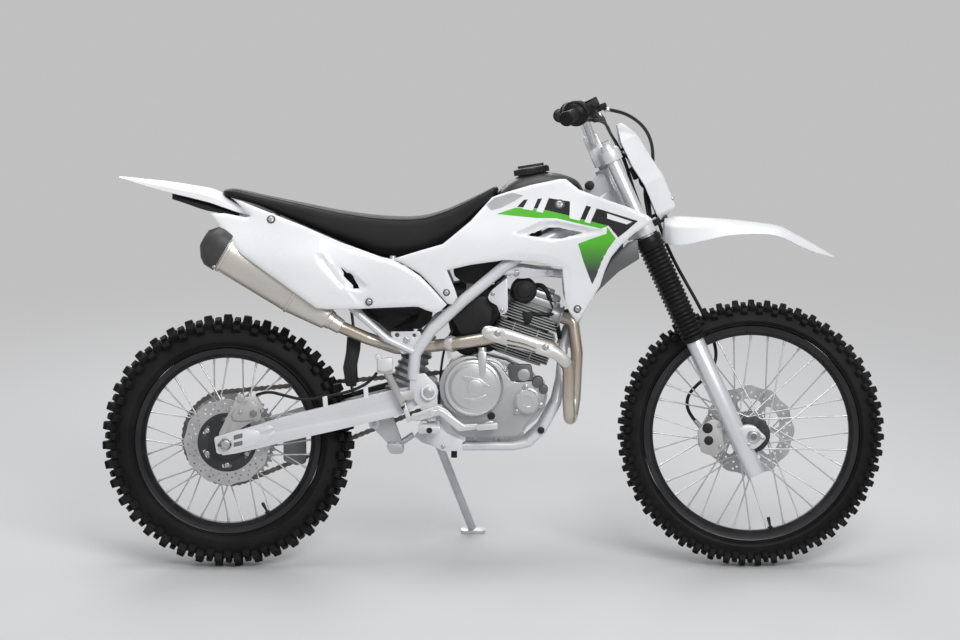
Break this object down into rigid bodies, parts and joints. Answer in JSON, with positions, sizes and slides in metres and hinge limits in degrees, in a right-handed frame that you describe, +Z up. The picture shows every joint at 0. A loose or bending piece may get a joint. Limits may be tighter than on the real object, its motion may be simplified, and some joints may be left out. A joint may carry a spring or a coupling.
{
  "type": "dirt bike",
  "caption": "Off-road motorcycle with an air-cooled single cylinder engine, spoked wheels, knobbly tyres and gaitered forks, leaning on its side stand; it rolls, steers and folds its stand",
  "frame": {"origin": "middle of the underside of the whole object's box, on the ground", "axes": "+X forward, +Y to the bike's left (its side stand's side), +Z up; the bike leans 10 degrees to its left"},
  "size_m": [2.0349, 0.7967, 1.2436],
  "materials": {
    "frame_paint": "light silver-grey gloss paint",
    "engine_alloy": "cast, bead-blasted, clear coated",
    "bare_alloy": "extruded and forged, satin anodised",
    "stainless": "brushed stainless, bronzed by heat",
    "steel": "ground and zinc plated",
    "chrome": "hard chrome",
    "dark_metal": "black anodised and powder coated",
    "black_plastic": "moulded, fine texture",
    "white_plastic": "injection moulded, glossy, plain stripes",
    "seat_cover": "black vinyl, fine grain",
    "rubber": "moulded black",
    "tyre": "knobbly off-road tread"
  },
  "bodies": {
    "frame": {"main_frame": "frame_paint", "seat_rails": "frame_paint", "crankcase": "engine_alloy", "cylinder": "engine_alloy", "cylinder_head": "engine_alloy", "intake": "black_plastic", "exhaust_header": "stainless", "header_heat_shield": "stainless", "muffler": "stainless", "muffler_end_cap": "black_plastic", "swingarm": "bare_alloy", "pivot_bolt": "steel", "rear_axle": "steel", "rear_suspension": "dark_metal", "drive_chain": "steel", "foot_controls": "dark_metal", "rear_brake": "dark_metal", "rear_brake_hose": "rubber", "seat": "seat_cover", "fuel_tank": "black_plastic", "fuel_cap": "black_plastic", "tank_shrouds": "white_plastic", "side_covers": "white_plastic", "rear_fender": "white_plastic", "inner_mudguard": "black_plastic"},
    "steering": {"triple_clamps": "bare_alloy", "fork_tubes": "chrome", "fork_gaiters": "rubber", "fork_sliders": "bare_alloy", "front_axle": "steel", "handlebar": "bare_alloy", "grips": "rubber", "hand_controls": "dark_metal", "number_plate": "white_plastic", "front_fender": "white_plastic", "front_brake_caliper": "dark_metal", "front_brake_hose": "rubber", "control_cables": "rubber"},
    "front_wheel": {"front_tyre": "tyre", "front_rim": "dark_metal", "front_spokes": "chrome", "front_hub": "dark_metal", "front_brake_disc": "steel"},
    "rear_wheel": {"rear_tyre": "tyre", "rear_rim": "dark_metal", "rear_spokes": "chrome", "rear_hub": "dark_metal", "rear_brake_disc": "steel", "rear_sprocket": "steel"},
    "side_stand": {"side_stand": "frame_paint"}
  },
  "joints": [
    {"name": "steering", "type": "hinge", "parent": "frame", "child": "steering", "pos_m": [0.32455, -0.03717, 0.94481], "axis": [-0.4163, 0.1579, 0.8954], "range_deg": [-42, 42]},
    {"name": "front_wheel_spin", "type": "hinge", "parent": "steering", "child": "front_wheel", "pos_m": [0.6705, -0.14336, 0.34261], "axis": [0, 0.9848, -0.1736], "continuous": true},
    {"name": "rear_wheel_spin", "type": "hinge", "parent": "frame", "child": "rear_wheel", "pos_m": [-0.6895, -0.14666, 0.3239], "axis": [0, 0.9848, -0.1736], "continuous": true},
    {"name": "stand_fold", "type": "hinge", "parent": "frame", "child": "side_stand", "pos_m": [-0.1495, -0.02755, 0.2968], "axis": [-0.0939, 0.9244, 0.3696], "range_deg": [0, 90.9]}
  ]
}
